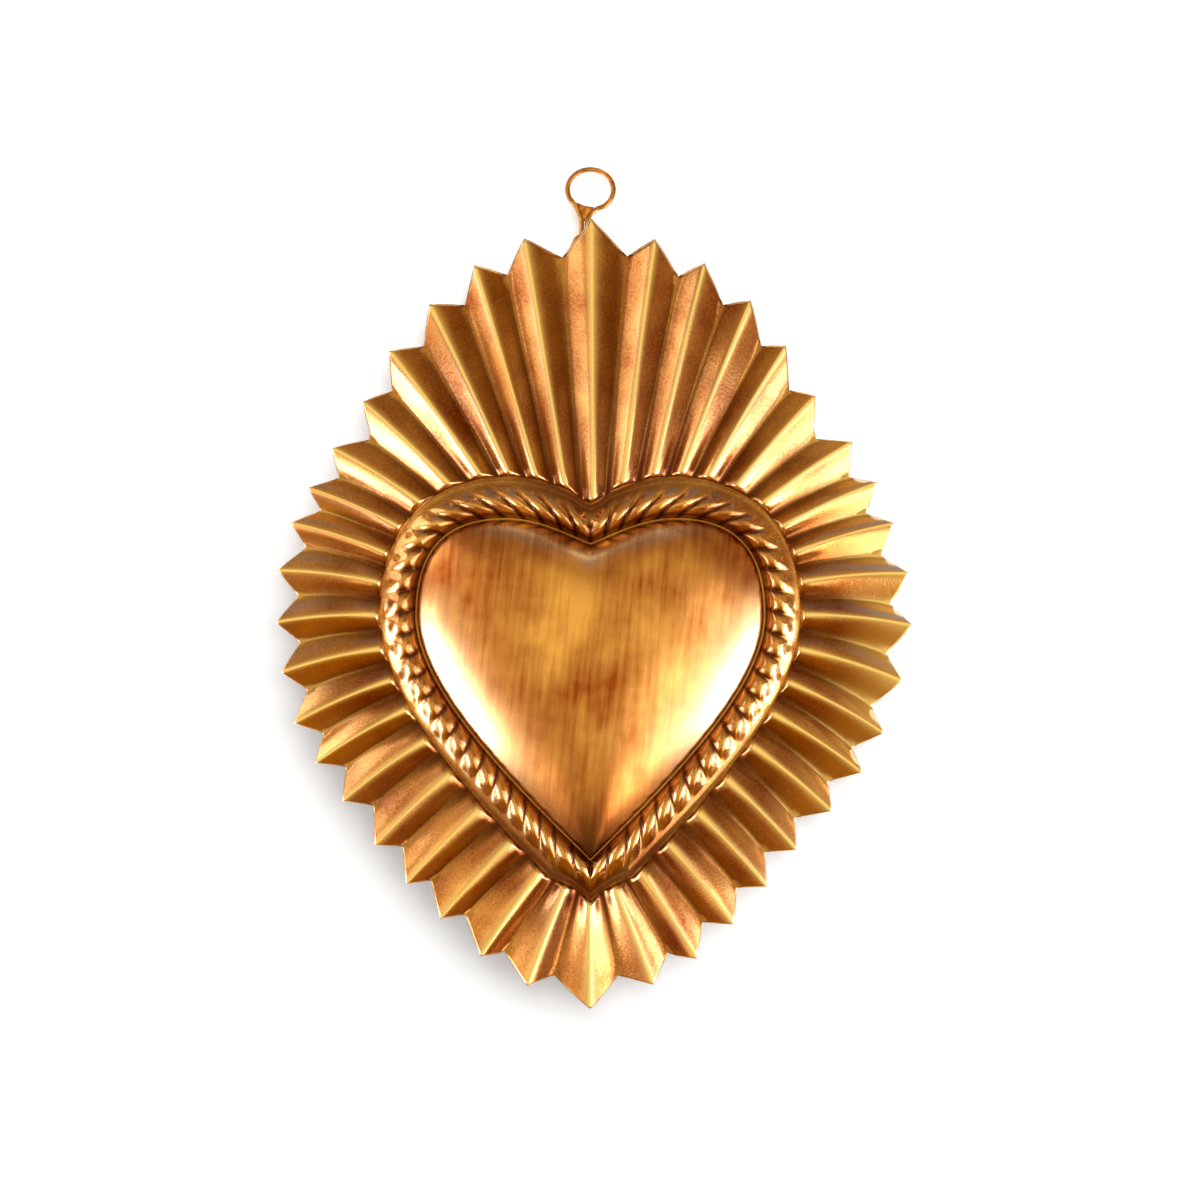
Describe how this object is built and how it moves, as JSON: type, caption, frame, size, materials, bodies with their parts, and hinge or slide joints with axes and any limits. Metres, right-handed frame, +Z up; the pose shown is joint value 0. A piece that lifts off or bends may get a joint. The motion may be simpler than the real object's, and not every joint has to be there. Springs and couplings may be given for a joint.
{
  "type": "wall ornament",
  "caption": "Pressed sheet-metal heart with a rope border inside a fan of pleated rays, hung from a soldered wire eye.",
  "frame": {"origin": "where a nail bears inside the top of the wire eye, in the middle of the wire", "axes": "+Z up as the ornament hangs, +Y back towards the wall, +X to the right seen from the front"},
  "size_m": [0.1058, 0.0084, 0.1398],
  "materials": {
    "antique_sheet": "antiqued, rubbed bright on the high places and left dark brown in the hollows",
    "wire": "drawn, antiqued with the sheet",
    "solder": "as it flowed, under the same antique tint"
  },
  "bodies": {
    "root": {"pressed_sheet": "antique_sheet", "hanger_wire": "wire", "crotch_solder": "solder", "leg_solder": "solder"}
  },
  "joints": []
}
